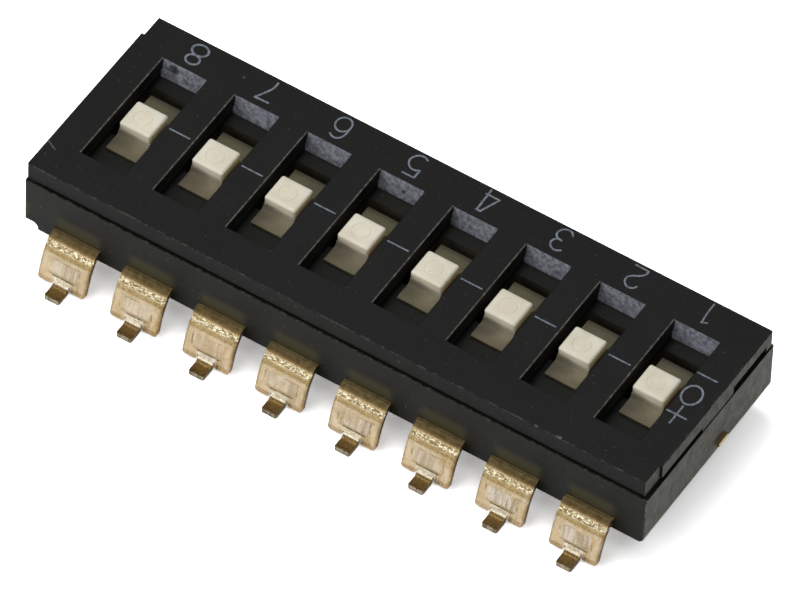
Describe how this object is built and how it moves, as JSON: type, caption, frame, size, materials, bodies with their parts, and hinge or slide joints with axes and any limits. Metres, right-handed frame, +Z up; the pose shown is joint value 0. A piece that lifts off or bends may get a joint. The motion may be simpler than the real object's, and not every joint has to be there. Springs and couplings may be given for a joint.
{
  "type": "surface mount dip switch",
  "caption": "Low black surface mount DIP switch with cream three-state sliders in numbered slots, gold plated gull-wing leads and wiping spring contacts inside.",
  "frame": {"origin": "middle of the footprint on the solder plane, midway between the ends and between the front and back feet", "axes": "+X along the row towards position 1, +Y away from the eight-lead side, +Z up out of the board"},
  "size_m": [0.0218, 0.0098, 0.0037],
  "materials": {
    "cover_black": "fine moulded matt",
    "base_black": "fine moulded satin",
    "slider_cream": "moulded matt",
    "contact_gold": "gold flashed spring strip",
    "lead_gold": "gold flashed, tool marked"
  },
  "bodies": {
    "housing": {"cover": "cover_black", "base": "base_black", "terminal_1": "lead_gold", "terminal_2": "lead_gold", "terminal_3": "lead_gold", "terminal_4": "lead_gold", "terminal_5": "lead_gold", "terminal_6": "lead_gold", "terminal_7": "lead_gold", "terminal_8": "lead_gold", "bus_plus": "lead_gold", "bus_minus": "lead_gold"},
    "slide_1": {"slider_1": "slider_cream", "contact_1": "contact_gold"},
    "slide_2": {"slider_2": "slider_cream", "contact_2": "contact_gold"},
    "slide_3": {"slider_3": "slider_cream", "contact_3": "contact_gold"},
    "slide_4": {"slider_4": "slider_cream", "contact_4": "contact_gold"},
    "slide_5": {"slider_5": "slider_cream", "contact_5": "contact_gold"},
    "slide_6": {"slider_6": "slider_cream", "contact_6": "contact_gold"},
    "slide_7": {"slider_7": "slider_cream", "contact_7": "contact_gold"},
    "slide_8": {"slider_8": "slider_cream", "contact_8": "contact_gold"}
  },
  "joints": [
    {"name": "slide_1_travel", "type": "slide", "parent": "housing", "child": "slide_1", "axis": [0, 1, 0], "range_m": [-0.00084, 0.00084]},
    {"name": "slide_2_travel", "type": "slide", "parent": "housing", "child": "slide_2", "axis": [0, 1, 0], "range_m": [-0.00084, 0.00084]},
    {"name": "slide_3_travel", "type": "slide", "parent": "housing", "child": "slide_3", "axis": [0, 1, 0], "range_m": [-0.00084, 0.00084]},
    {"name": "slide_4_travel", "type": "slide", "parent": "housing", "child": "slide_4", "axis": [0, 1, 0], "range_m": [-0.00084, 0.00084]},
    {"name": "slide_5_travel", "type": "slide", "parent": "housing", "child": "slide_5", "axis": [0, 1, 0], "range_m": [-0.00084, 0.00084]},
    {"name": "slide_6_travel", "type": "slide", "parent": "housing", "child": "slide_6", "axis": [0, 1, 0], "range_m": [-0.00084, 0.00084]},
    {"name": "slide_7_travel", "type": "slide", "parent": "housing", "child": "slide_7", "axis": [0, 1, 0], "range_m": [-0.00084, 0.00084]},
    {"name": "slide_8_travel", "type": "slide", "parent": "housing", "child": "slide_8", "axis": [0, 1, 0], "range_m": [-0.00084, 0.00084]}
  ]
}
